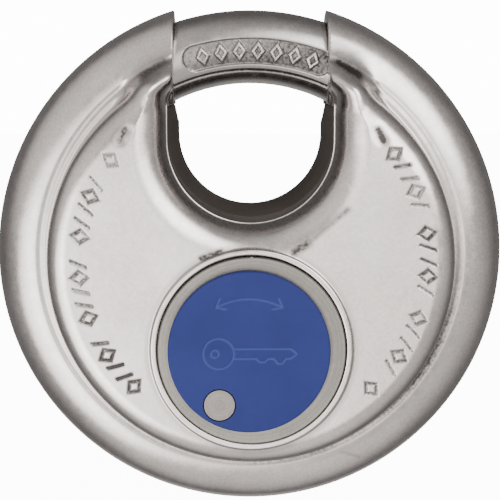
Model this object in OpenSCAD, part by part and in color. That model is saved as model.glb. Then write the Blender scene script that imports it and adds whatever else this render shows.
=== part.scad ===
// Disc padlock: two stamped shells, a swinging C-shaped shackle and a pin-tumbler cylinder.
// The lock hangs from the shackle: the origin is the middle of the bar's underside,
// +Z points up and the keyhole side faces -Y. Most modules work in the disc's own frame,
// with the disc axis along Y at the origin, and at_disc() moves them down into place.

/* [Shell] */
// Overall diameter of the round body
body_d = 70; // [69:0.5:72]
// Thickness over the two flat faces
body_t = 25; // [25:0.5:26]
// Sheet thickness of the stamped shells
wall = 1.2; // [1.1:0.1:1.3]
// Radius of the rim tube that the shackle runs in
rim_tube_r = 6.6; // [6.5:0.1:6.7]
// Outer radius of the raised drum inside the rim
drum_r = 27.2; // [27:0.1:27.4]
// Rounding between the drum's side and its flat face
drum_round = 2.4; // [2:0.1:3]
// How far the drum sits below the rim's centre
drum_drop = 0.3; // [0:0.1:0.5]

/* [Notch] */
// Half width of the notch between the shell flanges
notch_r = 11.4; // [11.2:0.1:11.6]
// Height of the notch's round end above the disc centre
notch_up = 15.75; // [15.5:0.05:16]
// Rounding of the notch's shoulder
notch_round = 4.5; // [4:0.25:4.75]
// Depth from the middle plane to the cut edge of the flange
flange_edge = 5; // [4.8:0.1:5.2]
// Half width of the mouth where the shackle shows
mouth_r = 10.4; // [10.2:0.1:10.6]
// Half width of the clear opening inside the liner
liner_r = 9.8; // [9.6:0.1:10]
// Height of the liner's round end above the disc centre
liner_up = 16.65; // [16.5:0.05:16.8]
// Height of the tops of the liner's hidden plate above the disc centre
liner_top = 18.7; // [18.4:0.1:18.9]

/* [Shackle] */
// Diameter of the shackle bar
bar_d = 10; // [9.8:0.1:10]
// Angle of the locked tip, left of the top
tip_deg = 35; // [33:1:37]
// Angle of the heel, right of the bottom
heel_deg = 25; // [24:1:26]
// Width of the drive arm
arm_w = 7.9; // [7.7:0.1:8.1]

/* [Cylinder] */
// Distance of the cylinder's axis below the disc centre
cylinder_drop = 11.8; // [11.7:0.05:11.9]
// Radius of the visible face ring
ring_r = 12.45; // [12.4:0.05:12.5]
// Radius of the housing behind the ring
housing_r = 10.2; // [10.1:0.05:10.2]
// Radius of the plug
plug_r = 6; // [5.95:0.05:6]
// Distance between neighbouring pins
pin_pitch = 2.6; // [2.5:0.05:2.6]
// Radius of the tumbler pins
pin_r = 1.15; // [1.1:0.05:1.15]
// Throw of the crank that drives the shackle
crank_throw = 9; // [8.9:0.05:9]

/* [Keyway cover] */
// Radius of the cover disc
cover_r = 10.64; // [10.4:0.02:10.8]
// Thickness of the cover disc
cover_t = 1.55; // [1.5:0.05:1.6]

/* [Hidden] */

$fn = 96;

// Disc layout: depths are distances from the middle plane
face_a = body_t / 2;
rim_r = body_d / 2 - rim_tube_r;
hang_r = rim_r - bar_d / 2;
case_gap = 0.1;
case_face = face_a - wall - case_gap;
groove_gap = 0.3;
far = 60;

// Notch liner
liner_back = notch_r + wall + 0.1;
liner_plate = 1.3;
liner_plate_a = 8;
case_notch_r = liner_back + liner_plate + 0.05;
crown_r = 8.6;
liner_end = hang_r - 0.3;

// Cylinder: places along the disc's depth, negative towards the front
ring_front = -face_a - 0.7;
housing_end = 3.8;
ring_bevel = 0.15;
index_w = 0.3;
index_len = 1.7;
index_depth = 0.15;
plug_front = ring_front + 0.2;
plug_lip_r = plug_r + 0.45;
first_pin_y = -8.3;
pin_count = 5;
key_pin_len = [4.2, 5.0, 3.6, 5.4, 4.6];
key_pin_floor = -0.75;
driver_len = 2.2;
driver_floor = plug_r + 0.15;
wing_top = plug_r + 6.35;
wing_w = 4.9;
wing_front = -9.9;
wing_back = 3.4;
strip_t = 0.6;
ring_gap = 0.05;
spring_r = 0.85;
spring_wire = 0.32;
spring_turns = 5;
drill_pin_spots = [[4.6, 6.9], [7.9, -3.0]];
drill_pin_r = 0.75;

// Drive
crank_y = [4.05, 6.05];
crank_head = 0.88;
arm_y = [6.4, 8.8];
foot_y = [3.0, 4.6];
chamber_floor = 9.1;
chamber_r = crank_throw + 2.7;
drive_pin_r = 1.6;
slot_gap = 0.35;
rest_deg = atan(crank_throw / cylinder_drop);
nose_root = 0.5;
nose_len = 1;
nose_r = [bar_d / 2 - 0.5, bar_d / 2 - 1.5];
pin_near = sqrt(crank_throw * crank_throw + cylinder_drop * cylinder_drop);
pin_far = cylinder_drop + crank_throw;
joggle_in = 23.5;
joggle_out = 24.9;
foot_out = 29.4;
rivet_at = [26.6, 2.1];
rivet_end = -2.8;
rivet_r = 0.84;
rivet_proud = 0.2;

// Cover
cover_off = [-0.36, 0.14];
rivet_off = [-4.25, -6.85];
cover_back = ring_front - 0.25;
cover_front = cover_back - cover_t;

// Fasteners of the inner case: [x, z] in the disc's frame
screw_spots = [[18, 6.5], [-18, 6.5], [15.5, -2.5], [-15.5, -2.5]];
dowel_spots = [[20.3, 0.5], [-20.3, 0.5]];

// ---- helpers ----

// Moves from the disc's frame to the hanging frame
module at_disc() translate([0, 0, -hang_r]) children();

// Moves from the cylinder's axis to the disc's frame
module at_cylinder() translate([0, 0, -cylinder_drop]) children();

// A flat shape drawn as seen from the front, filling depths y0 to y1
module slab(y0, y1)
    translate([0, y1, 0])
        rotate([90, 0, 0])
            linear_extrude(y1 - y0)
                children();

// A round bar or cone along Y from y0 to y1
module rod(y0, y1, r, r_end = -1)
    translate([0, y0, 0])
        rotate([-90, 0, 0])
            cylinder(h = y1 - y0, r1 = r, r2 = r_end < 0 ? r : r_end);

// A ring along Y
module tube(y0, y1, r_in, r_out)
    difference() {
        rod(y0, y1, r_out);
        rod(y0 - 1, y1 + 1, r_in);
    }

// A profile of [radius, depth towards the front] turned about Y
module turned()
    rotate([90, 0, 0])
        rotate_extrude()
            children();

// A profile of [distance, depth towards the front] swept along a U that is open at the top
module u_sweep(centre_z, top_z) {
    translate([0, 0, centre_z])
        intersection() {
            turned() children();
            translate([-far / 2, -far / 2, -far]) cube(far);
        }
    for (side = [0, 1])
        mirror([side, 0, 0])
            translate([0, 0, centre_z])
                linear_extrude(top_z - centre_z)
                    mirror([0, 1, 0])
                        children();
}

// A helical wire standing on z = 0: rings of points along the helix, joined into one solid
module coil_spring(r, wire, height, turns) {
    steps = 12;
    sides = 6;
    rings = turns * steps;
    points = [
        for (k = [0 : rings], s = [0 : sides - 1])
            let (around = 360 * k / steps, across = 360 * s / sides)
            let (reach = r + wire / 2 * cos(across))
            [
                reach * cos(around),
                reach * sin(around),
                wire / 2 + (height - wire) * k / rings + wire / 2 * sin(across)
            ]
    ];
    walls = [
        for (k = [0 : rings - 1], s = [0 : sides - 1])
            let (a = k * sides + s, b = k * sides + (s + 1) % sides)
            each [[a, b, b + sides], [a, b + sides, a + sides]]
    ];
    start_cap = [for (s = [sides - 1 : -1 : 0]) s];
    end_cap = [for (s = [0 : sides - 1]) rings * sides + s];
    polyhedron(points, concat(walls, [start_cap, end_cap]));
}

// ---- envelope of the body ----

// The tube of the rim, its wall moved inwards by inset
module rim_solid(inset)
    turned()
        translate([rim_r, 0])
            circle(rim_tube_r - inset);

// The raised drum with rounded edges, its wall moved inwards by inset
module drum_solid(inset)
    translate([0, 0, -drum_drop])
        turned()
            for (side = [0, 1])
                mirror([0, side])
                    union() {
                        square([drum_r - drum_round, face_a - inset]);
                        square([drum_r - inset, face_a - drum_round]);
                        translate([drum_r - drum_round, face_a - drum_round])
                            circle(drum_round - inset);
                    }

// Half profile of the cut that makes the notch, with its rounded shoulder
module notch_side(inset) {
    flare = notch_r + notch_round;
    square([notch_r + inset, face_a + 1]);
    difference() {
        translate([0, face_a - notch_round]) square([flare, notch_round + 1]);
        translate([flare, face_a - notch_round]) circle(notch_round - inset);
        square([notch_r + inset, face_a - notch_round]);
    }
}

// The cut through the whole drum
module notch_cut(inset)
    u_sweep(notch_up, far)
        union() {
            notch_side(inset);
            mirror([0, 1]) notch_side(inset);
        }

// The gap between the two flanges, which the liner fills
module flange_window()
    u_sweep(notch_up, far)
        translate([0, -flange_edge])
            square([notch_r + wall + 0.05, 2 * flange_edge]);

// Both shells in one piece, still without the cylinder's hole
module shell_pair()
    difference() {
        union() {
            difference() {
                drum_solid(0);
                notch_cut(0);
                flange_window();
            }
            difference() {
                rim_solid(0);
                translate([-mouth_r, -far / 2, 0]) cube([2 * mouth_r, far, far]);
            }
        }
        intersection() {
            flange_window();
            rod(-far, far, liner_end + 0.1);
        }
        difference() {
            drum_solid(wall);
            notch_cut(wall);
        }
        rim_solid(rim_tube_r - bar_d / 2 - groove_gap);
    }

module front_half() translate([-far, -2 * far, -far]) cube(2 * far);
module rear_half() translate([-far, 0, -far]) cube(2 * far);

// ---- outer pieces ----

// Front stamping, with the rolled collar round the cylinder's hole
module front_shell() color("gainsboro") at_disc() {
    difference() {
        union() {
            intersection() {
                shell_pair();
                front_half();
            }
            at_cylinder()
                tube(-face_a - 0.45, -face_a + 0.6, ring_r + ring_gap, ring_r + 0.85);
        }
        at_cylinder() rod(-face_a - 2, -face_a + wall + 1, ring_r + ring_gap);
    }
}

module rear_shell() color("gainsboro") at_disc()
    intersection() {
        shell_pair();
        rear_half();
    }

// The liner's crown towards the opening, width thick, with straight sides up to top_z
module liner_crown(width, top_z)
    u_sweep(liner_up, top_z)
        intersection() {
            translate([liner_r, 0.1 - flange_edge])
                square([width, 2 * flange_edge - 0.2]);
            translate([liner_r + crown_r, 0]) circle(crown_r);
        }

// Dark U-shaped liner, held by its plate behind the flanges and ending just under the bar
module notch_liner() color("dimgray") at_disc() {
    difference() {
        union() {
            u_sweep(notch_up, liner_top)
                translate([liner_back, -liner_plate_a])
                    square([liner_plate, 2 * liner_plate_a]);
            liner_crown(liner_back - liner_r + 0.6, liner_top);
        }
        rim_solid(-0.1);
    }
    intersection() {
        liner_crown(notch_r + wall - 0.05 - liner_r, hang_r);
        rod(-far, far, liner_end);
    }
}

// ---- inner case ----

// The filled space inside the shells, with the shackle's groove and the liner's seat cut away
module case_block()
    difference() {
        drum_solid(wall + case_gap);
        notch_cut(wall + case_gap);
        u_sweep(notch_up, far)
            translate([0, -far / 2])
                square([case_notch_r, far]);
        rim_solid(rim_tube_r - bar_d / 2 - groove_gap - 0.05);
        at_cylinder()
            translate([-wing_w / 2 - 0.1, wing_front - 0.1, 0])
                cube([wing_w + 0.2, wing_back - wing_front + 0.2, wing_top + strip_t + 0.1]);
        for (p = screw_spots)
            translate([p[0], 0, p[1]]) rod(-7, far, 1.22);
        for (p = dowel_spots)
            translate([p[0], 0, p[1]]) rod(-4.1, 4.1, 1.27);
    }

module front_case() color("darkgray") at_disc()
    difference() {
        intersection() {
            case_block();
            front_half();
        }
        at_cylinder() {
            rod(-far, 1, housing_r + ring_gap);
            tube(-case_face - 1, -case_face + 1, 10.75, 11.85);
        }
    }

// The rear half holds the chamber in which the crank and the drive arm turn
module rear_case() color("darkgray") at_disc()
    difference() {
        intersection() {
            case_block();
            rear_half();
        }
        at_cylinder() rod(-1, chamber_floor, chamber_r);
        slab(-1, chamber_floor)
            intersection() {
                difference() {
                    circle(26.5);
                    circle(11);
                }
                polygon([[0, 0], [-far, -far * 0.65], [0, -far * 1.5], [far, -far * 0.65]]);
            }
        for (p = screw_spots)
            translate([p[0], 0, p[1]]) rod(case_face - 1.35, case_face + 0.1, 1.2, 2.65);
    }

module case_dowels() color("silver") at_disc()
    for (p = dowel_spots)
        translate([p[0], 0, p[1]]) rod(-4, 4, 1.25);

// Countersunk screws that hold the two case halves together, entered from the rear
module case_screws() color("dimgray") at_disc()
    for (p = screw_spots)
        translate([p[0], 0, p[1]])
            difference() {
                union() {
                    rod(-6, case_face - 1.2, 1.2);
                    rod(case_face - 1.25, case_face - 0.05, 1.2, 2.4);
                }
                translate([-2, case_face - 0.45, -0.3]) cube([4, 1, 0.6]);
            }

// ---- shackle ----

// C-shaped bar: a ring segment with a tapered nose, and a flat at the heel for the arm's foot
module shackle() color("silver") at_disc()
    difference() {
        union() {
            rotate([90, 0, 0])
                rotate([0, 0, heel_deg - 90])
                    rotate_extrude(angle = 180 - heel_deg + tip_deg)
                        translate([rim_r, 0])
                            circle(bar_d / 2);
            rotate([0, -tip_deg, 0])
                translate([nose_root, 0, rim_r])
                    rotate([0, -90, 0])
                        cylinder(h = nose_root + nose_len, r1 = nose_r[0], r2 = nose_r[1]);
        }
        arm_frame() {
            translate([-bar_d, foot_y[0], -foot_out - 6])
                cube([bar_d + arm_w / 2 + 0.05, bar_d, 12]);
            rivet_holes();
        }
    }

// Local frame of the drive arm: it points straight down before this turn
module arm_frame()
    rotate([0, -rest_deg, 0])
        children();

module rivet_holes()
    for (side = [-1, 1])
        translate([side * rivet_at[1], 0, -rivet_at[0]])
            rod(rivet_end - 0.1, far / 2, 0.85);

// Cranked steel arm with the slot that the drive pin slides in
module drive_arm() color("slategray") at_disc()
    arm_frame()
        difference() {
            union() {
                slab(arm_y[0], arm_y[1])
                    union() {
                        translate([0, -pin_near]) circle(arm_w / 2);
                        translate([-arm_w / 2, -joggle_out])
                            square([arm_w, joggle_out - pin_near]);
                    }
                translate([-arm_w / 2, foot_y[0], -joggle_out])
                    cube([arm_w, arm_y[1] - foot_y[0], joggle_out - joggle_in]);
                translate([-arm_w / 2, foot_y[0], -foot_out])
                    cube([arm_w, foot_y[1] - foot_y[0], foot_out - joggle_in]);
            }
            slab(arm_y[0] - 1, arm_y[1] + 1)
                union() {
                    translate([0, -pin_near]) circle(drive_pin_r + slot_gap);
                    translate([0, -pin_far]) circle(drive_pin_r + slot_gap);
                    translate([-drive_pin_r - slot_gap, -pin_far])
                        square([2 * (drive_pin_r + slot_gap), pin_far - pin_near]);
                }
            rivet_holes();
        }

// Two rivets through the arm's foot, set into the bar
module arm_rivets() color("silver") at_disc()
    arm_frame()
        for (side = [-1, 1])
            translate([side * rivet_at[1], 0, -rivet_at[0]])
                rod(rivet_end, foot_y[1] + rivet_proud, rivet_r);

// ---- cylinder ----

function pin_y(i) = first_pin_y + i * pin_pitch;

// Housing: visible face ring, round body, pin wing on top, and the bore for the plug
module cylinder_housing() color("silver") at_disc() at_cylinder()
    difference() {
        union() {
            rod(ring_front + ring_bevel, -case_face, ring_r);
            rod(ring_front, ring_front + ring_bevel, ring_r - ring_bevel, ring_r);
            rod(-case_face - 0.5, housing_end, housing_r);
            translate([-wing_w / 2, wing_front, 0])
                cube([wing_w, wing_back - wing_front, wing_top]);
        }
        rod(ring_front - 1, housing_end + 1, plug_r + ring_gap);
        rod(ring_front - 1, plug_front + 0.85, plug_lip_r + ring_gap);
        translate([-index_w / 2, ring_front - 1, ring_r - index_len])
            cube([index_w, 1 + index_depth, far]);
        tube(0.1, 1.1, housing_r - 0.7, housing_r + 0.5);
        for (i = [0 : pin_count - 1])
            translate([0, pin_y(i), 3]) cylinder(h = far, r = pin_r + ring_gap);
        translate([rivet_off[0], 0, rivet_off[1]]) rod(ring_front - 1, -10.4, 1.06);
        for (p = drill_pin_spots)
            translate([p[0], 0, p[1]]) rod(ring_front - 1, -6, drill_pin_r + 0.01);
    }

module anti_drill_pins() color("dimgray") at_disc() at_cylinder()
    for (p = drill_pin_spots)
        translate([p[0], 0, p[1]]) rod(ring_front + 0.1, -6.1, drill_pin_r);

// O-ring under the face ring
module face_seal() color("black") at_disc() at_cylinder()
    turned()
        translate([11.3, case_face - 0.5])
            circle(0.49);

// Retaining ring behind the front case, open at the top for the wing
module housing_circlip() color("dimgray") at_disc() at_cylinder()
    difference() {
        tube(0.15, 1.05, housing_r - 0.65, housing_r + 0.9);
        translate([-4, -1, 0]) cube([8, 4, far]);
    }

// Strip that closes the five pin chambers
module chamber_strip() color("goldenrod") at_disc() at_cylinder()
    translate([-wing_w / 2 + 0.3, wing_front + 0.3, wing_top])
        cube([wing_w - 0.6, wing_back - wing_front - 0.6, strip_t]);

// Warded keyway, open at the bottom of the plug
module keyway_shape()
    union() {
        translate([-0.95, -1.6]) square([1.9, 4.8]);
        translate([-0.35, -3.4]) square([1.7, 2.0]);
        translate([-1.25, -plug_r - 1]) square([2.1, plug_r - 1.4]);
    }

module plug() color("goldenrod") at_disc() at_cylinder()
    difference() {
        union() {
            rod(plug_front, housing_end, plug_r);
            rod(plug_front, plug_front + 0.8, plug_lip_r);
            translate([-2.7, housing_end - 0.5, -2.7])
                cube([5.4, crank_y[1] - crank_head - 0.1 - housing_end + 0.5, 5.4]);
        }
        slab(plug_front - 1, 3.3) keyway_shape();
        for (i = [0 : pin_count - 1])
            translate([0, pin_y(i), key_pin_floor - 0.05]) cylinder(h = far, r = pin_r + ring_gap);
        rod(3.6, far, 1.02);
    }

// Key pin with a cone tip, resting on the bottom of its bore
module key_pin(i) color("goldenrod") at_disc() at_cylinder()
    translate([0, pin_y(i), key_pin_floor]) {
        cylinder(h = 0.7, r1 = 0.45, r2 = pin_r);
        translate([0, 0, 0.7]) cylinder(h = key_pin_len[i] - 0.7, r = pin_r);
    }

module driver_pin(i) color("silver") at_disc() at_cylinder()
    translate([0, pin_y(i), driver_floor])
        cylinder(h = driver_len, r = pin_r);

// Helical spring between the driver pin and the chamber strip
module pin_spring(i) color("lightsteelblue") at_disc() at_cylinder()
    translate([0, pin_y(i), driver_floor + driver_len + 0.02])
        coil_spring(spring_r, spring_wire, wing_top - driver_floor - driver_len - 0.04, spring_turns);

// ---- drive ----

module thrust_washer() color("goldenrod") at_disc() at_cylinder()
    tube(housing_end + 0.03, crank_y[0] - 0.02, 4.0, 7.6);

// Crank that the plug's square tail turns
module crank() color("slategray") at_disc() at_cylinder()
    difference() {
        slab(crank_y[0], crank_y[1])
            union() {
                circle(5.2);
                translate([crank_throw, 0]) circle(2.4);
                translate([0, -2.4]) square([crank_throw, 4.8]);
            }
        translate([-2.75, 0, -2.75]) cube([5.5, far, 5.5]);
        rod(crank_y[1] - crank_head, far, 3.95);
        translate([crank_throw, 0, 0]) rod(0, far, drive_pin_r + 0.01);
    }

module drive_pin() color("silver") at_disc() at_cylinder()
    translate([crank_throw, 0, 0])
        rod(crank_y[0], arm_y[1] - 0.2, drive_pin_r);

// Flat-headed screw that holds the crank on the plug's tail
module crank_screw() color("dimgray") at_disc() at_cylinder()
    difference() {
        union() {
            rod(crank_y[1] - crank_head + 0.02, crank_y[1] - 0.02, 3.85);
            rod(3.7, crank_y[1] - crank_head + 0.1, 1.0);
        }
        translate([-far / 2, crank_y[1] - 0.4, -0.35]) cube([far, 1, 0.7]);
    }

// ---- keyway cover ----

// Disc that swings on its off-centre rivet to uncover the keyway
module keyway_cover() color("royalblue") at_disc() at_cylinder()
    difference() {
        translate([cover_off[0], 0, cover_off[1]]) {
            rod(cover_front, cover_front + 0.3, cover_r - 0.3, cover_r);
            rod(cover_front + 0.3, cover_back, cover_r);
        }
        translate([rivet_off[0], 0, rivet_off[1]]) {
            rod(cover_front - 1, far, 1.16);
            rod(cover_front - 1, cover_front + 0.85, 2.15);
        }
    }

module cover_rivet() color("silver") at_disc() at_cylinder()
    translate([rivet_off[0], 0, rivet_off[1]]) {
        rod(cover_front + 0.03, cover_front + 0.8, 2.0);
        rod(cover_front + 0.7, ring_front - 0.01, 1.1);
        rod(ring_front - 0.1, -10.5, 1.05);
    }

// Spring washer that gives the cover its friction
module cover_washer() color("silver") at_disc() at_cylinder()
    translate([rivet_off[0], 0, rivet_off[1]])
        tube(cover_back + 0.05, ring_front - 0.02, 1.2, 2.4);

front_shell();
rear_shell();
notch_liner();
front_case();
rear_case();
case_dowels();
case_screws();
shackle();
drive_arm();
arm_rivets();
cylinder_housing();
face_seal();
housing_circlip();
anti_drill_pins();
chamber_strip();
plug();
for (i = [0 : pin_count - 1]) {
    key_pin(i);
    driver_pin(i);
    pin_spring(i);
}
thrust_washer();
crank();
drive_pin();
crank_screw();
keyway_cover();
cover_rivet();
cover_washer();
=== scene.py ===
"""Looks for the disc padlock: pressed steel shells, the bar, the liner, the cylinder's face and its cover.

Each moulded piece is a field, negative inside the material, that contour() turns into a quad mesh.
Lengths are in millimetres about the disc centre, x to the right, y to the back and z up,
until build() places a mesh. A constant whose name ends in _TURN, _START or _RISE, and SLOPE, is the
start and end of an ease().
"""

import math

import bpy
import numpy as np
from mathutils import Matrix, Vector


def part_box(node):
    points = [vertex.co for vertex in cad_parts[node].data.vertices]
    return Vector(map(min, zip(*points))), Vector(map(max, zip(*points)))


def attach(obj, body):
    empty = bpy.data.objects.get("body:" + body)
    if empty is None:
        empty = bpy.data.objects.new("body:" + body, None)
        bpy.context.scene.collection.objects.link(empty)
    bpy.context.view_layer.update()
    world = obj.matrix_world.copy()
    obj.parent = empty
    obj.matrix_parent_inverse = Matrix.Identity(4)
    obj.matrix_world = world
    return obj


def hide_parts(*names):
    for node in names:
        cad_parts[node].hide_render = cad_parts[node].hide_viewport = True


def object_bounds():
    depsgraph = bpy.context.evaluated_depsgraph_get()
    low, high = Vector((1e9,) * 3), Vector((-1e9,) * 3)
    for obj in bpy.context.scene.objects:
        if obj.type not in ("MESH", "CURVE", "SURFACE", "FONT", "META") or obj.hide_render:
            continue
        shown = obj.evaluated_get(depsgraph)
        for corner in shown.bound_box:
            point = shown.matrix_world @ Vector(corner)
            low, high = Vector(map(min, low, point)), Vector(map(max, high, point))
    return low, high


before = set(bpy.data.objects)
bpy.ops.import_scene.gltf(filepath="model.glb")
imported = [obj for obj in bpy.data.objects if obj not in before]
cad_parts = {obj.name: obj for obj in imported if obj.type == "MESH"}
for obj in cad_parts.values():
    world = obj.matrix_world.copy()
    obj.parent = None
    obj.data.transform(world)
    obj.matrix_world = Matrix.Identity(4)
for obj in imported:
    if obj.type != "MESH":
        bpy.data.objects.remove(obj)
CAD_BOX = [list(corner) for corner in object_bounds()]
MM = 0.001
TAU = 2 * math.pi


# ---- places, from the frame ----


def node_box(name):
    low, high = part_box(name)
    return np.array(low) / MM, np.array(high) / MM


shell_low, shell_high = node_box("rear_shell")
BODY_R = (shell_high[0] - shell_low[0]) / 2
CENTRE = np.array([0, 0, shell_low[2] + BODY_R])
FACE = shell_high[1]
ring_low = node_box("cylinder_housing")[0]
plug_low, plug_high = node_box("plug")
AXIS_Z = (plug_low[2] + plug_high[2]) / 2 - CENTRE[2]
RING_R = AXIS_Z + CENTRE[2] - ring_low[2]
cover_low, cover_high = node_box("keyway_cover")
COVER_X = (cover_low[0] + cover_high[0]) / 2
COVER_Z = (cover_low[2] + cover_high[2]) / 2 - CENTRE[2]
COVER_R = (cover_high[0] - cover_low[0]) / 2
COVER_FRONT, COVER_BACK = -cover_low[1], -cover_high[1]
rivet_low, rivet_high = node_box("cover_rivet")
RIVET_X = (rivet_low[0] + rivet_high[0]) / 2
RIVET_Z = (rivet_low[2] + rivet_high[2]) / 2 - CENTRE[2]
bar_low, bar_high = node_box("shackle")
BAR_R = (bar_high[1] - bar_low[1]) / 2
RIM_R = bar_high[2] - CENTRE[2] - BAR_R

# Shells
RIM_TUBE = BODY_R - RIM_R
WALL = 1.2
GROOVE_R = BAR_R + 0.3
NOTHING = -9.0  # a field's value where a cut has no effect
SEAM_DEPTH = 0.15
SEAM_HALF = 0.3

# The raised drum: its rounding is tight at the sides, softer towards the mouth and softest in the notch
DRUM_R = 27.2
DRUM_DROP = 0.3
EDGE_ROUND = 2.9
MOUTH_EDGE_ROUND = 4.2
NOTCH_ROUND = 4.5
CORNER_ROUND = 3.0
MOUTH_TURN = [70, 30]  # degrees from the top
NOTCH_TURN = [-5, 5]
SLOPE = [16.0, 28.4]
SLOPE_DROP = 0.7
CREASE_LINE = [28.5, 0.7, 0.16]  # radius, half width and depth
CREASE_ROUND = [0.6, 4.5]  # rounding at the sides and by the mouth
CREASE_TURN = [44, 27]  # degrees from the top
CREASE_START = [-0.4, 1.6]  # distance out from the notch's wall

# The notch, the mouth and the corner beside each lip
NOTCH_R = 11.4
NOTCH_UP = 15.75
FLANGE_EDGE = 5.0
FLANGE_BEAD = 0.13
MOUTH_R = 10.4
MOUTH_ROUND = 0.25
MOUTH_FLOOR = 18
LIP_REACH = 2.4
LIP_RISE = [21.2, 24.6]
KNUCKLE = [(13.0, 23.6), 5.0, 0.7]  # place, radius and how far it pushes the drum's side out
PRESS_DENT = [(17.0, 16.1), (16.4, 17.1), 1.5, 0.16]  # ends, half width and depth
PRESS_BULGE = [(13.9, 22.4), 3.2, 0.6]  # place, radius and height

# The collar round the cylinder's hole
COLLAR_MID = RING_R + 0.48
COLLAR_HALF = 0.4
COLLAR_TOP = FACE + 0.34
COLLAR_ROUND = 0.2
COLLAR_FILLET = 0.3
HOLE_R = RING_R + 0.05
HOLE_DEPTH = 3

# Liner: it ends just under the bar
LINER_R = 9.8
LINER_UP = 16.65
LINER_END = RIM_R - BAR_R - 0.3
LINER_ROUND = 0.3
CROWN_R = 8.6
LINER_GAP = 0.05
LINER_BACK = NOTCH_R + WALL + LINER_GAP
FLARE_UP = 18.4
FLARE = [2.2, 0.45, 0.12]  # height, how far it opens, and the step it starts with

# Bar
TIP_DEG = 35
HEEL_DEG = 155
BAR_END_ROUND = 0.4
UNDER_LINE = [-3.25, 0.25, 0.12]  # height across the bar, half width and depth
RELIEF = 0.24
STAMP_MID = -0.75
STAMP_HALF = 1.85
STAMP_DEG = [-19.4, 23.5]
STAMP_DEPTH = 0.3
STAMP_EDGE = 0.3
RHOMB_PITCH = 2.5
RHOMB = [0.95, 1.35]
RHOMB_HOLE = [0.42, 0.6]

# Cover
COVER_ROUND = 0.25
RIVET_HOLE = 1.16
RIVET_SINK = 2.15
SINK_DEPTH = 0.85
LINE_DEPTH = 0.12
LINE_HALF = 0.26
ARROW_R = 8.9
ARROW_MID = -1.9
ARROW_HALF = math.radians(29)
ARROW_HEAD = 1.3
ARROW_LEAN = math.radians(38)
KEY_BOW = [-4.0, -0.2]
KEY_BOW_R = 2.0
KEY_EYE = [-4.5, -0.2]
KEY_EYE_R = 0.5
KEY_BLADE = [(-2.15, 0.45), (5.4, 0.45), (6.2, -0.2), (5.4, -0.85), (4.8, -0.85), (4.3, -1.5), (3.7, -1.5),
             (3.2, -0.85), (2.5, -0.85), (2.0, -1.3), (1.4, -1.3), (0.9, -0.85), (-2.15, -0.85)]


# ---- fields ----


def hypot(*lengths):
    total = 0
    for length in lengths:
        total = total + length * length
    return np.sqrt(total)


def union_round(a, b, r):
    return np.maximum(r, np.minimum(a, b)) - hypot(np.maximum(r - a, 0), np.maximum(r - b, 0))


def cut_round(a, b, r):
    """Intersection of two fields, its edge rounded to radius r."""
    return np.minimum(-r, np.maximum(a, b)) + hypot(np.maximum(a + r, 0), np.maximum(b + r, 0))


def bump(distance, width):
    """1 on the line, falling smoothly to 0 at width."""
    share = np.clip(1 - distance / width, 0, 1)
    return share * share * (3 - 2 * share)


def segment(u, v, a, b):
    """Distance from the point (u, v) to the segment a-b."""
    du, dv = b[0] - a[0], b[1] - a[1]
    t = np.clip(((u - a[0]) * du + (v - a[1]) * dv) / max(du * du + dv * dv, 1e-9), 0, 1)
    return hypot(u - a[0] - t * du, v - a[1] - t * dv)


def notch_distance(x, z):
    """Distance from the notch's centre line, a U open at the top."""
    below = np.minimum(z - NOTCH_UP, 0)
    return hypot(x, below)


def ease(value, start, end):
    share = np.clip((value - start) / (end - start), 0, 1)
    return share * share * (3 - 2 * share)


def lip_reach(z):
    """How far the drum reaches into the mouth beside each lip."""
    return LIP_REACH * ease(z, *LIP_RISE)


def degrees_from_top(x, z):
    return np.degrees(np.arctan2(np.abs(x), z))


def place_bump(x, z, place, reach, amount):
    """A round rise of a given amount about a place, the same on both sides."""
    return amount * bump(hypot(np.abs(x) - place[0], z - place[1]), reach)


def drum_field(x, y, z):
    """The raised drum. Its face slopes away towards the mouth."""
    outer = hypot(x, z + DRUM_DROP) - DRUM_R - place_bump(x, z, *KNUCKLE)
    notch = NOTCH_R - notch_distance(x, z) - lip_reach(z)
    by_mouth = ease(degrees_from_top(x, z), *MOUTH_TURN)
    drop = SLOPE_DROP * by_mouth * ease(hypot(x, z), *SLOPE)
    side = EDGE_ROUND + (MOUTH_EDGE_ROUND - EDGE_ROUND) * by_mouth
    edge = side + (NOTCH_ROUND - side) * ease(notch - outer, *NOTCH_TURN)
    return cut_round(cut_round(outer, notch, CORNER_ROUND), np.abs(y) - FACE + drop, edge)


def rim_field(x, y, z, r):
    return hypot(hypot(x, z) - RIM_R, y) - r


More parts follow.
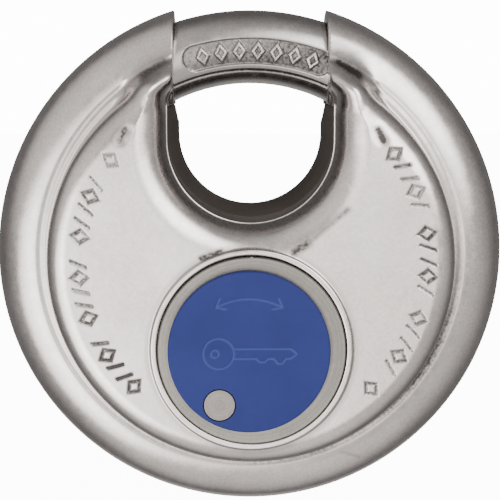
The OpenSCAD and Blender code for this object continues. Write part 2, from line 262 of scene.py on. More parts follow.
def shell_field(x, y, z, front):
    """One pressed shell. front is True for the half with the cylinder's hole."""
    n = notch_distance(x, z)
    drum = drum_field(x, y, z)
    window = np.maximum(n - LINER_BACK, np.abs(y) - FLANGE_EDGE)
    seam = SEAM_DEPTH * bump(np.abs(y), SEAM_HALF)
    mouth = np.where(z > MOUTH_FLOOR, MOUTH_R - np.abs(x), NOTHING)
    line_r, line_half, line_depth = CREASE_LINE
    groove = line_depth * bump(np.abs(hypot(x, z) - line_r), line_half) * (np.abs(y) > BAR_R)
    grow = ease(degrees_from_top(x, z), *CREASE_TURN) * ease(n + lip_reach(z) - NOTCH_R, *CREASE_START)
    fillet = CREASE_ROUND[0] + (CREASE_ROUND[1] - CREASE_ROUND[0]) * grow
    rim = rim_field(x, y, z, RIM_TUBE) + seam + groove
    outside = cut_round(union_round(drum, rim, fillet), mouth, MOUTH_ROUND)
    outside = np.maximum(outside, -np.maximum(window, hypot(x, z) - LINER_END))
    if front:
        outside = outside + face_dents(x, z)
    inside = np.minimum(drum + WALL, rim_field(x, y, z, GROOVE_R))
    shell = np.maximum(outside, -inside)
    if front:
        c = hypot(x, z - AXIS_Z)
        collar = cut_round(np.abs(c - COLLAR_MID) - COLLAR_HALF, np.abs(y) - COLLAR_TOP, COLLAR_ROUND)
        collar = np.maximum(collar, FACE - 1.0 - np.abs(y))
        shell = union_round(shell, collar, COLLAR_FILLET)
        shell = np.maximum(shell, np.where(np.abs(y) > FACE - HOLE_DEPTH, HOLE_R - c, NOTHING))
        return np.maximum(shell, y)
    return np.maximum(shell, -y)


# Painted shade strokes on the front shell, in the creases by the lips and round the collar's top, in the
# pressing dents, beside the bulges and low on the rim: the ends, half width and strength of each. The first
# list is the same on both sides.
SHADE_STROKES_MIRRORED = [
    ((14.3, 24.3), (11.6, 26.1), 1.1, 1.05),
    ((17.2, 15.8), (16.5, 17.2), 0.85, 1.5),
    ((14.4, 19.8), (14.3, 20.0), 0.6, 0.5),
]
SHADE_STROKES_ONE_SIDE = [
    ((5.6, 1.2), (7.4, 2.4), 1.1, 1.2),
    ((7.4, 2.4), (12.6, 6.8), 0.8, 0.7),
    ((-6.6, 0.4), (-4.0, 1.3), 0.8, 1.1),
    ((12.4, -27.0), (15.0, -28.0), 0.4, 0.35),
]
# Rows of stamped marks: radius, first and last angle, and count
MARK_ROWS = [(22.7, -137, -54, 19), (23.3, 53, 137, 19)]
MARK_HALF = 0.34
MARK_DEPTH = 0.14
MARK_TICK = [(-0.4, -0.95), (0.4, 0.95)]
MARK_RHOMB = [0.85, 1.05, 0.66]  # half width, half height, and distance per unit of the field


def face_dents(x, z):
    """Depths of the pressing marks beside the mouth and of the stamped marks on the face."""
    start, end, half, depth = PRESS_DENT
    dent = depth * bump(segment(np.abs(x), z, start, end), half) - place_bump(x, z, *PRESS_BULGE)
    return dent + MARK_DEPTH * bump(face_marks(x, z), MARK_HALF)


def face_marks(x, z):
    """Distance to the stamped marks, an arc on each side of the notch. A rhomb and two slanted ticks,
    then a rhomb, a tick and a gap, repeat along it."""
    wide, high, slope = MARK_RHOMB
    r, around = hypot(x, z), np.degrees(np.arctan2(x, z))
    best = np.full(np.broadcast(x, z).shape, 9.0)
    for middle, first, last, count in MARK_ROWS:
        for k in range(count):
            if k % 6 == 5:
                continue
            angle = first + (last - first) * k / (count - 1)
            u = (around - angle) * math.pi / 180 * middle
            v = r - middle
            if k % 3 == 0:
                mark = np.abs(np.abs(u) / wide + np.abs(v) / high - 1) * slope
            else:
                mark = segment(u, v, *MARK_TICK)
            best = np.minimum(best, mark)
    return best


def shell_painted_shade(x, y, z):
    """Painted shade on the front shell: darker in its stamped marks, in the listed strokes, along the crease
    and more so towards the lower right, down the notch's steep wall, and in the crease just outside the
    collar.
    """
    r = hypot(x, z)
    # painted shade in the stamped marks
    shade_and_wear_amount = bump(face_marks(x, z), 0.5) * (y < 2.5 - FACE)
    # painted shade strokes from the two lists
    for across, stains_and_shade in ((np.abs(x), SHADE_STROKES_MIRRORED), (x, SHADE_STROKES_ONE_SIDE)):
        for start, end, half, amount in stains_and_shade:
            shade_and_wear_amount = np.maximum(shade_and_wear_amount, amount * bump(segment(across, z, start, end), half))
    # painted shade along the crease, heavier towards the lower right
    crease = bump(np.abs(r - DRUM_R - 0.9), 2.2) * (z < 23)
    crease = crease * (0.3 + 0.5 * np.clip((0.6 * x - 0.8 * z) / r, 0, 1))
    # painted shade down the notch's steep wall
    wall = ease(notch_distance(x, z), 12.9, 11.8) * ease(z, 20.4, 18.6) * (y < -FLANGE_EDGE - 0.3)
    shade_and_wear_amount = np.maximum(shade_and_wear_amount, 0.6 * wall)
    # painted shade in the crease just outside the collar
    collar = bump(np.abs(hypot(x, z - AXIS_Z) - COLLAR_MID - 0.8), 0.7)
    return np.maximum(shade_and_wear_amount, np.maximum(crease, 0.3 * collar))


def bar_painted_shade(x, y, z):
    """Painted shade on the bar: darker and rougher on the floor of the stamping, less on its raised rhombs,
    and along the groove under it, on the front only.
    """
    q, pocket, relief = stamping(x, z)
    floor = 0.75 * np.clip(0.1 - pocket * 3, 0, 1) * (1 - 0.8 * relief)
    return np.where(y < 0, np.maximum(floor, 0.9 * bump(np.abs(q - UNDER_LINE[0]), 0.35)), 0)


def stamping(x, z):
    """Height across the bar, distance to the stamped pocket, and the raised rhombs in it."""
    q = hypot(x, z) - RIM_R
    angle = np.degrees(np.arctan2(x, z))
    per_degree = math.pi / 180 * (RIM_R + STAMP_MID)
    half = (STAMP_DEG[1] - STAMP_DEG[0]) / 2 * per_degree - STAMP_HALF
    along = (angle - (STAMP_DEG[0] + STAMP_DEG[1]) / 2) * per_degree
    pocket = hypot(np.maximum(np.abs(along) - half, 0), q - STAMP_MID) - STAMP_HALF
    cell = along - RHOMB_PITCH * np.round(along / RHOMB_PITCH)
    outer = np.abs(cell) / RHOMB[0] + np.abs(q - STAMP_MID) / RHOMB[1] - 1
    inner = np.abs(cell) / RHOMB_HOLE[0] + np.abs(q - STAMP_MID) / RHOMB_HOLE[1] - 1
    relief = np.clip(0.5 - outer * 3, 0, 1) * np.clip(0.5 + inner * 3, 0, 1)
    return q, pocket, np.where(np.abs(along) < half + 0.3, relief, 0)


def bar_field(x, y, z):
    """The bar, with a stamped pocket and a line under it on the front, between its tip and its heel."""
    q, pocket, relief = stamping(x, z)
    angle = np.degrees(np.arctan2(x, z))
    recess = STAMP_DEPTH * bump(np.maximum(pocket + STAMP_EDGE, 0), STAMP_EDGE)
    line_q, line_half, line_depth = UNDER_LINE
    line = line_depth * bump(np.abs(q - line_q), line_half)
    bar = hypot(q, y) - BAR_R + np.clip(-y, 0, 1) * (recess - RELIEF * relief * (recess > 0) + line)
    per_degree = math.pi / 180 * RIM_R
    ends = np.maximum(-TIP_DEG - angle, angle - HEEL_DEG) * per_degree
    ends = np.where(angle < -TIP_DEG - 60, (angle + 360 - HEEL_DEG) * per_degree, ends)
    return cut_round(bar, ends, BAR_END_ROUND)


def cover_field(x, y, z):
    """The cover with its rivet's counterbore and the shallow lines on its face."""
    u, v = x - COVER_X, z - COVER_Z
    middle, half = (COVER_FRONT + COVER_BACK) / 2, (COVER_FRONT - COVER_BACK) / 2
    disc = cut_round(hypot(u, v) - COVER_R, np.abs(y + middle) - half, COVER_ROUND)
    hole = hypot(x - RIVET_X, z - RIVET_Z)
    disc = np.maximum(disc, RIVET_HOLE - hole)
    sink = np.maximum(hole - RIVET_SINK, COVER_FRONT - SINK_DEPTH + y)
    return np.maximum(disc, -sink) + LINE_DEPTH * bump(cover_lines(u, v), LINE_HALF) * (y < -middle)


def cover_lines(u, v):
    """Distance to the double-headed arrow and to the outline of a key."""
    reach = hypot(u, v - ARROW_MID)
    angle = np.arctan2(u, v - ARROW_MID)
    over = np.maximum(np.abs(angle) - ARROW_HALF, 0) * ARROW_R
    best = hypot(reach - ARROW_R, over)
    tip = np.array([ARROW_R * math.sin(ARROW_HALF), ARROW_MID + ARROW_R * math.cos(ARROW_HALF)])
    for lean in (-ARROW_LEAN, ARROW_LEAN):
        way = math.pi - ARROW_HALF + lean
        end = tip + ARROW_HEAD * np.array([math.cos(way), math.sin(way)])
        best = np.minimum(best, segment(np.abs(u), v, tip, end))
    for (across, up), r in ((KEY_BOW, KEY_BOW_R), (KEY_EYE, KEY_EYE_R)):
        best = np.minimum(best, np.abs(hypot(u - across, v - up) - r))
    for a, b in zip(KEY_BLADE[:-1], KEY_BLADE[1:]):
        best = np.minimum(best, segment(u, v, a, b))
    return best


def cover_wear(x, y, z):
    """The lines on the cover have rubbed a little paler than the rest."""
    return bump(cover_lines(x - COVER_X, z - COVER_Z), 0.24) * (y < -(COVER_FRONT + COVER_BACK) / 2)


def liner_field(x, y, z):
    """The liner's U, crowned across its thickness and flared at the top of each leg."""
    n = hypot(x, np.minimum(z - LINER_UP, 0))
    height, opening, step = FLARE
    flare = opening * np.clip((z - FLARE_UP) / height, 0, 1) + step * (z > FLARE_UP)
    crown = hypot(n - flare - LINER_R - CROWN_R, y) - CROWN_R
    body = np.maximum(crown, np.abs(y) - FLANGE_EDGE + 0.08)
    body = np.maximum(body, notch_distance(x, z) - LINER_BACK)
    return cut_round(body, hypot(x, z) - LINER_END, LINER_ROUND)


# ---- from field to mesh ----

PULL = 0.04  # how strongly a vertex is held to the middle of its cell's crossings
REACH = 0.6  # how far it may move from there, in cells
SOFT = 0.93  # cosine below which a corner gets a normal of its own

CORNERS = [(i, j, k) for i in (0, 1) for j in (0, 1) for k in (0, 1)]
EDGES = [(a, b) for a in CORNERS for b in CORNERS if a < b and sum(map(abs, np.subtract(a, b))) == 1]


def gradient(field, points, step=0.01):
    x, y, z = points.T
    g = np.stack([
        field(x + step, y, z) - field(x - step, y, z),
        field(x, y + step, z) - field(x, y - step, z),
        field(x, y, z + step) - field(x, y, z - step),
    ], 1)
    return g / np.maximum(np.linalg.norm(g, axis=1), 1e-9)[:, None]


def contour(field, xs, ys, zs, wrap=False):
    """Vertices, quads and corner normals of the surface where field is zero.
    xs and zs give each grid column's place and ys the depths. wrap joins the last column to the first."""
    if wrap:
        xs, zs = np.concatenate([xs, xs[:1]]), np.concatenate([zs, zs[:1]])
    values = field(xs[:, :, None], ys[None, None, :], zs[:, :, None])
    nu, nv, nw = values.shape
    inside = values < 0
    count = sum(inside[i:nu - 1 + i, j:nv - 1 + j, k:nw - 1 + k].astype(np.int8) for i, j, k in CORNERS)
    cells = np.argwhere((count > 0) & (count < 8))
    ids = np.full((nu - 1, nv - 1, nw - 1), -1, np.int64)
    ids[tuple(cells.T)] = np.arange(len(cells))

    def place(at):
        i, j, k = at.T
        return np.stack([xs[i, j], ys[k], zs[i, j]], 1)

    total, number = np.zeros((len(cells), 3)), np.zeros(len(cells))
    crossings = []
    for a, b in EDGES:
        ca, cb = cells + a, cells + b
        fa, fb = values[tuple(ca.T)], values[tuple(cb.T)]
        hit = np.flatnonzero((fa < 0) != (fb < 0))
        t = (fa[hit] / (fa[hit] - fb[hit]))[:, None]
        p = place(ca[hit]) * (1 - t) + place(cb[hit]) * t
        crossings.append((hit, p))
        total[hit] += p
        number[hit] += 1
    middle = total / number[:, None]
    matrix = np.zeros((len(cells), 3, 3)) + PULL * number[:, None, None] * np.eye(3)
    right = np.zeros((len(cells), 3))
    for hit, p in crossings:
        n = gradient(field, p)
        matrix[hit] += n[:, :, None] * n[:, None, :]
        right[hit] += n * np.sum(n * (p - middle[hit]), 1)[:, None]
    shift = np.linalg.solve(matrix, right[:, :, None])[:, :, 0]
    size = np.linalg.norm(place(cells + 1) - place(cells), axis=1)
    reach = np.linalg.norm(shift, axis=1)
    shift *= np.minimum(1, REACH * size / np.maximum(reach, 1e-9))[:, None]
    points = middle + shift

    quads = []
    for axis in range(3):
        step = np.eye(3, dtype=int)[axis]
        one, two = np.eye(3, dtype=int)[(axis + 1) % 3], np.eye(3, dtype=int)[(axis + 2) % 3]
        n = [nu, nv, nw]
        n[axis] -= 1
        if wrap and axis != 0:
            n[0] -= 1
        first = inside[:n[0], :n[1], :n[2]]
        after = inside[step[0]:n[0] + step[0], step[1]:n[1] + step[1], step[2]:n[2] + step[2]]
        edge = np.argwhere(first != after)
        ring = [edge, edge - one, edge - one - two, edge - two]
        good = np.ones(len(edge), bool)
        corner = []
        for c in ring:
            c = c.copy()
            if wrap:
                c[:, 0] %= nu - 1
            ok = np.all((c >= 0) & (c < np.array(ids.shape)), axis=1)
            good &= ok
            corner.append(np.where(ok, ids[tuple(np.clip(c, 0, np.array(ids.shape) - 1).T)], -1))
        corner = np.stack(corner, 1)[good]
        turn = first[tuple(edge.T)][good]
        corner[~turn] = corner[~turn][:, ::-1]
        quads.append(corner)
    quads = np.concatenate(quads)
    if np.linalg.det(np.array([place(np.array([[1, 0, 0]]))[0] - place(np.array([[0, 0, 0]]))[0],
                               place(np.array([[0, 1, 0]]))[0] - place(np.array([[0, 0, 0]]))[0],
                               [0, ys[1] - ys[0], 0]])) < 0:
        quads = quads[:, ::-1]
    at_vertex = gradient(field, points)
    centre = points[quads].mean(1)
    inner = points[quads] * 0.8 + centre[:, None] * 0.2
    at_corner = gradient(field, inner.reshape(-1, 3)).reshape(inner.shape)
    shared = at_vertex[quads]
    soft = np.sum(shared * at_corner, 2) > SOFT
    normals = np.where(soft[:, :, None], shared, at_corner)
    return points, quads, normals.reshape(-1, 3)


def sweep(path, r, sides=10):
    """A closed thin tube along path, with its ends capped by quads about their middles."""
    path = np.array(path, float)
    along = np.gradient(path, axis=0)
    along /= np.linalg.norm(along, axis=1)[:, None]
    up = np.array([0, 1.0, 0])
    out = np.cross(along, up)
    turn = np.arange(sides) / sides * TAU
    ring = np.cos(turn)[None, :, None] * out[:, None] + np.sin(turn)[None, :, None] * up
    points = (path[:, None] + r * ring).reshape(-1, 3)
    k, i = np.meshgrid(np.arange(len(path) - 1), np.arange(sides), indexing="ij")
    after = (i + 1) % sides
    here, there = k * sides, (k + 1) * sides
    quads = np.stack([here + i, there + i, there + after, here + after], -1).reshape(-1, 4)
    normals = ring.reshape(-1, 3)[quads]
    ends = []
    for k, way in ((0, 1), (len(path) - 1, -1)):
        for a in range(0, sides // 2 - 1):
            ends.append([k * sides + v for v in (a, a + 1, sides - 2 - a, sides - 1 - a)][::way])
    ends = np.array(ends)
    at_start = (np.arange(len(ends)) < len(ends) / 2)[:, None, None]
    caps = np.where(at_start, -along[0], along[-1]) * np.ones((1, 4, 1))
    return points, np.concatenate([quads, ends]), np.concatenate([normals, caps]).reshape(-1, 3)


def build(name, parts, body, material, replaces=(), shade_and_wear=None):
    """A piece from (points, quads, corner normals) parts about the disc centre."""
    points, faces, normals, base = [], [], [], 0
    for p, q, n in parts:
        points.append(p)
        faces.append(q + base)
        normals.append(n)
        base += len(p)
    points, faces, normals = np.concatenate(points), np.concatenate(faces), np.concatenate(normals)
    mesh = bpy.data.meshes.new(name)
    places = np.clip((points + CENTRE) * MM, *CAD_BOX)
    mesh.from_pydata(places.tolist(), [], faces.tolist())
    mesh.polygons.foreach_set("use_smooth", np.ones(len(faces), bool))
    mesh.normals_split_custom_set(normals.tolist())
    mesh.materials.append(material)
    # the per-point attribute: painted shade on the front shell and the bar, the paler rubbed lines on the
    # cover
    if shade_and_wear:
        shade_and_wear_amount = mesh.attributes.new("shade_and_wear", "FLOAT", "POINT")
        shade_and_wear_amount.data.foreach_set("value", np.asarray(shade_and_wear(*points.T), np.float32))
    piece = bpy.data.objects.new(name, mesh)
    bpy.context.scene.collection.objects.link(piece)
    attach(piece, body)
    if replaces:
        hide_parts(*replaces)
    return piece


def ring_map(start, start_r, end_r, step, turns, outer_r):
    """Grid columns on nested circles, from a small one about start to one about the disc centre,
    then out to outer_r. They are twice as close just outside end_r, where the crease lies."""
    count = int((end_r - start_r + abs(start)) / step)
    share = np.linspace(0, 1, count)
    crease = np.arange(end_r + step / 2, end_r + 2, step / 2)
    outer = np.arange(crease[-1] + step, outer_r + step, step)
    radius = np.concatenate([start_r + (end_r - start_r) * share, crease, outer])
    middle = np.concatenate([start * (1 - share), np.zeros(len(radius) - count)])
    angle = np.arange(turns) / turns * TAU
    return radius * np.sin(angle)[:, None], middle + radius * np.cos(angle)[:, None]


def band_map(radii, degrees):
    """Grid columns on arcs about the disc centre."""
    angle = np.radians(degrees)[:, None]
    return radii * np.sin(angle), radii * np.cos(angle)


FINE = 0.25


# ---- materials ----


def new_material(name, colour, metallic, roughness):
    material = bpy.data.materials.new(name)
    material.use_nodes = True
    shader = material.node_tree.nodes["Principled BSDF"]
    shader.inputs["Base Color"].default_value = (*colour, 1)
    shader.inputs["Metallic"].default_value = metallic
    shader.inputs["Roughness"].default_value = roughness
    return material, shader


def add(material, kind, **settings):
    node = material.node_tree.nodes.new(kind)
    for key, value in settings.items():
        if key in node.inputs:
            node.inputs[key].default_value = value
        else:
            setattr(node, key, value)
    return node


def link(material, out, into):
    material.node_tree.links.new(out, into)


def noise(material, scale, detail=4, stretch=(1, 1, 1)):
    where = add(material, "ShaderNodeTexCoord")
    mapping = add(material, "ShaderNodeMapping")
    mapping.inputs["Scale"].default_value = stretch
    link(material, where.outputs["Object"], mapping.inputs["Vector"])
    texture = add(material, "ShaderNodeTexNoise", Scale=scale, Detail=detail)
    link(material, mapping.outputs["Vector"], texture.inputs["Vector"])
    return texture.outputs["Fac"]


def spread(material, value, low, high, first=0.3, last=0.7):
    node = add(material, "ShaderNodeMapRange")
    node.inputs["From Min"].default_value = first
    node.inputs["From Max"].default_value = last
    node.inputs["To Min"].default_value = low
    node.inputs["To Max"].default_value = high
    link(material, value, node.inputs["Value"])
    return node.outputs["Result"]


def tint(material, value, dark, light):
    """From dark to light as value goes from 0 to 1. Each is a colour or the output of a node."""
    node = add(material, "ShaderNodeMix", data_type="RGBA")
    for socket, colour in zip([s for s in node.inputs if s.type == "RGBA"], (dark, light)):
        if isinstance(colour, tuple):
            socket.default_value = (*colour, 1)
        else:
            link(material, colour, socket)
    link(material, value, node.inputs[0])
    return [s for s in node.outputs if s.type == "RGBA"][0]


def bumped(material, shader, value, distance, strength=1.0):
    node = add(material, "ShaderNodeBump", Distance=distance, Strength=strength)
    link(material, value, node.inputs["Height"])
    link(material, node.outputs["Normal"], shader.inputs["Normal"])


def tool_marks(material, x, z):
    """Fine rings about (x, z), given about the disc centre."""
    where = add(material, "ShaderNodeTexCoord")
    offset = add(material, "ShaderNodeMapping", vector_type="POINT")
    offset.inputs["Location"].default_value = (-x * MM, 0, -(z + CENTRE[2]) * MM)
    flat = add(material, "ShaderNodeVectorMath", operation="MULTIPLY")
    flat.inputs[1].default_value = (1, 0, 1)
    reach = add(material, "ShaderNodeVectorMath", operation="LENGTH")
    link(material, where.outputs["Object"], offset.inputs["Vector"])
    link(material, offset.outputs["Vector"], flat.inputs[0])
    link(material, flat.outputs["Vector"], reach.inputs[0])
    rings = add(material, "ShaderNodeTexNoise", noise_dimensions="1D", Scale=2600, Detail=3)
    link(material, reach.outputs["Value"], rings.inputs["W"])
    return rings.outputs["Fac"]


def maths(material, operation, a, b):
    node = add(material, "ShaderNodeMath", operation=operation)
    for socket, value in zip(node.inputs, (a, b)):
        if isinstance(value, (int, float)):
            socket.default_value = value
        else:
            link(material, value, socket)
    return node.outputs[0]


def metal(name, dark, light, roughness, grain=900, stretch=(1, 1, 1), depth=0.00001, shade_and_wear=False, turned=None):
    """Metal with cloudy stains, a fine grain and faint waviness. The attribute switch darkens and roughens it
    where a piece's attribute says, which on the front shell and the bar is painted shade, and turned is the
    place (x, z) about which a lathe's tool marks run."""
    material, shader = new_material(name, light, 1.0, roughness[0])
    fine = noise(material, grain, 3, stretch)
    speck = noise(material, 2600, 2)
    stains_and_shade = maths(material, "MULTIPLY", noise(material, 90, 8), 0.6)
    cloud = maths(material, "ADD", stains_and_shade, maths(material, "MULTIPLY", speck, 0.4))
    colour = tint(material, spread(material, cloud, 0, 1), dark, light)
    rough = spread(material, fine, *roughness)
    if shade_and_wear:
        # painted shade from the piece's attribute: towards 0.12 of the dark colour, and rougher
        attribute = add(material, "ShaderNodeAttribute", attribute_name="shade_and_wear")
        ragged = spread(material, cloud, 0.2, 1.6)
        shade_and_wear_amount = maths(material, "MINIMUM", maths(material, "MULTIPLY", attribute.outputs["Fac"], ragged), 1.0)
        colour = tint(material, shade_and_wear_amount, colour, tuple(0.12 * c for c in dark))
        rough = maths(material, "ADD", rough, maths(material, "MULTIPLY", shade_and_wear_amount, 0.25))
    if turned:
        fine = tool_marks(material, *turned)
        colour = tint(material, spread(material, fine, 0, 0.5), colour, tuple(0.6 * c for c in dark))
    link(material, colour, shader.inputs["Base Color"])
    link(material, rough, shader.inputs["Roughness"])
    wave = maths(material, "MULTIPLY", noise(material, 130, 2), 8.0)
    bumped(material, shader, maths(material, "ADD", fine, wave), depth)
    return material


def plastic(name, dark, light, roughness, grain=2500, depth=0.00001, gloss=0.5, lines=None):
    """Faintly mottled plastic. lines is the colour of a piece's wear, if it has one."""
    material, shader = new_material(name, light, 0.0, roughness[0])
    shader.inputs["Specular IOR Level"].default_value = gloss
    cloud = noise(material, 120, 4)
    colour = tint(material, spread(material, cloud, 0, 1), dark, light)
    if lines:
        attribute = add(material, "ShaderNodeAttribute", attribute_name="shade_and_wear")
        colour = tint(material, attribute.outputs["Fac"], colour, lines)
    link(material, colour, shader.inputs["Base Color"])
    fine = noise(material, grain, 2)
    link(material, spread(material, fine, *roughness), shader.inputs["Roughness"])
    bumped(material, shader, fine, depth)
    return material


# the shell and bar steels darken where their pieces' attribute says, which is painted shade
steel = metal("satin_stainless", (0.47, 0.428, 0.41), (0.68, 0.635, 0.613), (0.17, 0.27), shade_and_wear=True)
bar_steel = metal("bar_stainless", (0.34, 0.315, 0.30), (0.46, 0.435, 0.42), (0.2, 0.3), shade_and_wear=True)
ring_steel = metal("turned_ring", (0.17, 0.157, 0.143), (0.25, 0.235, 0.215), (0.28, 0.36),
                   turned=(0, AXIS_Z))
rivet_metal = metal("rivet_nickel", (0.18, 0.165, 0.155), (0.27, 0.25, 0.235), (0.3, 0.4),
                    turned=(RIVET_X, RIVET_Z))
brass = metal("brass", (0.60, 0.42, 0.18), (0.75, 0.56, 0.27), (0.25, 0.4))
zinc = metal("cast_zinc", (0.34, 0.34, 0.34), (0.46, 0.46, 0.46), (0.45, 0.6), 500)
dark_metal = metal("black_steel", (0.06, 0.06, 0.06), (0.12, 0.12, 0.12), (0.35, 0.5))
bright = metal("bright_steel", (0.55, 0.55, 0.55), (0.7, 0.7, 0.7), (0.2, 0.3))
liner_plastic = plastic("dark_liner", (0.026, 0.021, 0.018), (0.036, 0.030, 0.026), (0.5, 0.6), gloss=0.25)
blue_plastic = plastic("blue_cover", (0.0115, 0.0175, 0.093), (0.0155, 0.0235, 0.115), (0.5, 0.6),
                       gloss=0.12, lines=(0.03, 0.045, 0.165))
rubber = plastic("black_rubber", (0.015, 0.015, 0.015), (0.03, 0.03, 0.03), (0.6, 0.8))


# ---- pieces ----

# Shells: the front one's columns start round the cylinder's hole, the rear one's inside the notch
columns = int(TAU * BODY_R / FINE)
margin = 0.3
depths = np.arange(margin, -FACE - 0.9, -FINE)
front_x, front_z = ring_map(AXIS_Z, RING_R - 0.2, DRUM_R, FINE, columns, BODY_R + margin)
front = contour(lambda x, y, z: shell_field(x, y, z, True), front_x, depths, front_z, wrap=True)

# The burr rolled over along the flange's cut edge
turn = np.linspace(0, math.pi, 90)
rolled = NOTCH_R - 0.02
edge_path = (
    [(rolled, -FLANGE_EDGE, z) for z in np.arange(LINER_END - 2, NOTCH_UP, -0.4)]
    + [(rolled * math.cos(a), -FLANGE_EDGE, NOTCH_UP - rolled * math.sin(a)) for a in turn]
    + [(-rolled, -FLANGE_EDGE, z) for z in np.arange(NOTCH_UP + 0.4, LINER_END - 2, 0.4)]
)
# the front shell carries painted shade in its creases, marks, dents and notch wall
build("front_shell_pressing", [front, sweep(edge_path, FLANGE_BEAD)], "body", steel,
      ["front_shell"], shell_painted_shade)

rear_x, rear_z = ring_map(NOTCH_UP, 9.0, DRUM_R, FINE, columns, BODY_R + margin)
rear_depths = -depths[depths > -FACE - 0.5]
rear = contour(lambda x, y, z: shell_field(x, y, z, False), rear_x, rear_depths, rear_z, wrap=True)
build("rear_shell_pressing", [rear], "body", steel, ["rear_shell"])

# Bar: its columns are close where it shows in the mouth
cell = 0.8 * FINE
bar_radii = np.arange(RIM_R - BAR_R - 2 * cell, RIM_R + BAR_R + 2 * cell, cell)
seen = 24
spans = np.concatenate([
    np.arange(-TIP_DEG - 3, -seen, 1.0),
    np.arange(-seen, seen, math.degrees(cell / RIM_R)),
    np.arange(seen, HEEL_DEG + 3, 1.0),
])
bar_x, bar_z = band_map(bar_radii, spans)
bar_depths = np.arange(-BAR_R - 2 * cell, BAR_R + 2 * cell, cell)
bar = contour(bar_field, bar_x, bar_depths, bar_z)
# the bar carries painted shade in its stamping and along the groove under it
build("shackle_bar", [bar], "shackle", bar_steel, ["shackle"], bar_painted_shade)

liner_x = np.arange(-LINER_BACK - 0.4, LINER_BACK + 0.5, FINE)[:, None] + np.zeros(1)
liner_z = np.arange(NOTCH_UP - LINER_BACK - 0.6, LINER_END + 0.4, FINE)[None, :]
liner_x, liner_z = np.broadcast_arrays(liner_x, liner_z)
liner = contour(liner_field, liner_x, np.arange(-FLANGE_EDGE - 0.3, FLANGE_EDGE + 0.4, FINE), liner_z)
build("opening_liner", [liner], "body", liner_plastic, ["notch_liner"])

# Cover: fine enough for its lines
fine = 0.14
u = np.arange(-COVER_R - 2 * fine, COVER_R + 2 * fine, fine)
cover_x, cover_z = np.broadcast_arrays(COVER_X + u[:, None], COVER_Z + u[None, :])
cover_y = np.arange(-COVER_FRONT - 2 * fine, -COVER_BACK + 2 * fine, fine)
cover = contour(cover_field, cover_x, cover_y, cover_z)
build("swing_cover", [cover], "cover", blue_plastic, ["keyway_cover"], cover_wear)

# Everything else keeps its CAD shape
KEPT = {
    "front_case": zinc, "rear_case": zinc, "case_dowels": bright, "case_screws": dark_metal,
    "drive_arm": dark_metal, "arm_rivets": bright, "cylinder_housing": ring_steel,
    "face_seal": rubber, "housing_circlip": dark_metal, "anti_drill_pins": dark_metal,
    "chamber_strip": brass, "plug": brass, "thrust_washer": brass, "crank": dark_metal,
    "drive_pin": bright, "crank_screw": dark_metal, "cover_washer": bright, "cover_rivet": rivet_metal,
}
for n in range(1, 6):
    KEPT[f"key_pin_{n}"] = brass
    KEPT[f"driver_pin_{n}"] = bright
    KEPT[f"pin_spring_{n}"] = bright
for name, material in KEPT.items():
    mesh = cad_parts[name].data
    mesh.materials.clear()
    mesh.materials.append(material)

# ---- floor, light and camera ----


def plane(name, corners, material):
    """One side of the studio, which is no piece of the lock."""
    mesh = bpy.data.meshes.new(name)
    mesh.from_pydata(corners, [], [list(range(len(corners)))])
    mesh.materials.append(material)
    thing = bpy.data.objects.new(name, mesh)
    bpy.context.scene.collection.objects.link(thing)
    return thing


def pale(name, glow):
    """A white surface that glows."""
    material, shader = new_material(name, (0.9, 0.9, 0.9), 0.0, 0.9)
    shader.inputs["Emission Color"].default_value = (1, 1, 1, 1)
    shader.inputs["Emission Strength"].default_value = glow
    return material


# The floor lies below the cover where it hangs aside. The room glows white for the camera alone.
floor_z = CAD_BOX[0][2] - COVER_R / 2 * MM
far = 3.0
WHITE = 12
SIDES = {
    "floor": [(-far, -far, floor_z), (far, -far, floor_z), (far, far, floor_z), (-far, far, floor_z)],
    "backdrop": [(-far, far, floor_z), (far, far, floor_z), (far, far, far), (-far, far, far)],
    "backdrop_front": [(-far, -far, floor_z), (far, -far, floor_z), (far, -far, far), (-far, -far, far)],
    "backdrop_left": [(-far, -far, floor_z), (-far, far, floor_z), (-far, far, far), (-far, -far, far)],
    "backdrop_right": [(far, -far, floor_z), (far, far, floor_z), (far, far, far), (far, -far, far)],
}
for name, corners in SIDES.items():
    side = plane(name, corners, pale(name + "_white", WHITE))
    for ray in ("visible_diffuse", "visible_glossy", "visible_transmission", "visible_shadow"):
        setattr(side, ray, False)

world = bpy.data.worlds.new("studio")
world.use_nodes = True
bpy.context.scene.world = world


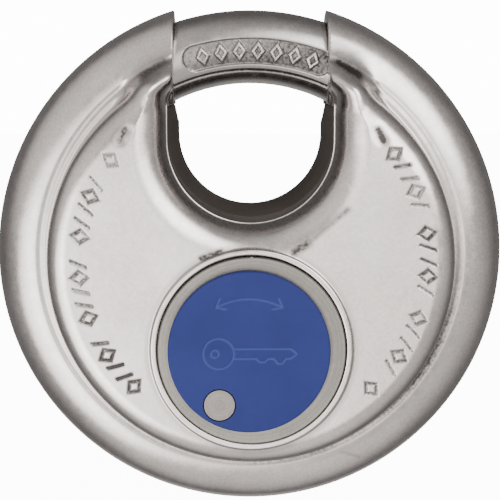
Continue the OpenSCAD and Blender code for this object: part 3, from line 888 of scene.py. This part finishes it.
def sky(lobes, base):
    """Soft glows in a dim studio: (direction, inner and outer angle in degrees, brightness)."""
    tree = world.node_tree
    where = tree.nodes.new("ShaderNodeTexCoord")
    total = None
    for direction, inner, outer, glow in lobes:
        dot = tree.nodes.new("ShaderNodeVectorMath")
        dot.operation = "DOT_PRODUCT"
        dot.inputs[1].default_value = Vector(direction).normalized()
        tree.links.new(where.outputs["Generated"], dot.inputs[0])
        shape = tree.nodes.new("ShaderNodeMapRange")
        shape.interpolation_type = "SMOOTHSTEP"
        shape.inputs["From Min"].default_value = math.cos(math.radians(outer))
        shape.inputs["From Max"].default_value = math.cos(math.radians(inner))
        shape.inputs["To Min"].default_value = 0
        shape.inputs["To Max"].default_value = glow
        tree.links.new(dot.outputs["Value"], shape.inputs["Value"])
        join = tree.nodes.new("ShaderNodeMath")
        join.inputs[1].default_value = base if total is None else 0
        tree.links.new(shape.outputs["Result"], join.inputs[0])
        if total is not None:
            tree.links.new(total, join.inputs[1])
        total = join.outputs[0]
    background = tree.nodes["Background"]
    tree.links.new(total, background.inputs["Strength"])
    background.inputs["Color"].default_value = (1, 0.985, 0.97, 1)


sky([
    ((0, -1, 0), 30, 125, 0.66),
    ((-0.25, -1, -0.18), 10, 34, 2.2),
    ((0.3, -1, 0.12), 0, 15, 2.0),
    ((0.47, -0.74, 0.485), 0, 32, 6.3),
    ((-0.58, -0.74, -0.33), 0, 36, 4.1),
    ((-0.72, -0.34, 0.6), 15, 45, 0.5),
    ((0, -0.42, -0.91), 15, 50, 0.4),
    ((0, 1, -0.55), 8, 32, 0.4),
], 0.2)

# Camera: in metres, with the frame's width measured at the disc's middle plane
DISTANCE = 0.19
VIEW_DROP = 0.0002
FRAME_WIDTH = 0.070126
ELEVATION, AZIMUTH = math.radians(6), math.radians(-1)
level = math.cos(ELEVATION)
back = np.array([math.sin(AZIMUTH) * level, -math.cos(AZIMUTH) * level, math.sin(ELEVATION)])
camera_data = bpy.data.cameras.new("camera")
camera = bpy.data.objects.new("camera", camera_data)
bpy.context.scene.collection.objects.link(camera)
camera.rotation_mode = "QUATERNION"
camera.rotation_quaternion = Vector(-back).to_track_quat("-Z", "Y")
drop = camera.rotation_quaternion @ Vector((0, VIEW_DROP, 0))
camera.location = Vector(CENTRE * MM + back * DISTANCE) + drop
camera_data.lens = camera_data.sensor_width * DISTANCE / FRAME_WIDTH
camera_data.clip_start = 0.01
bpy.context.scene.camera = camera
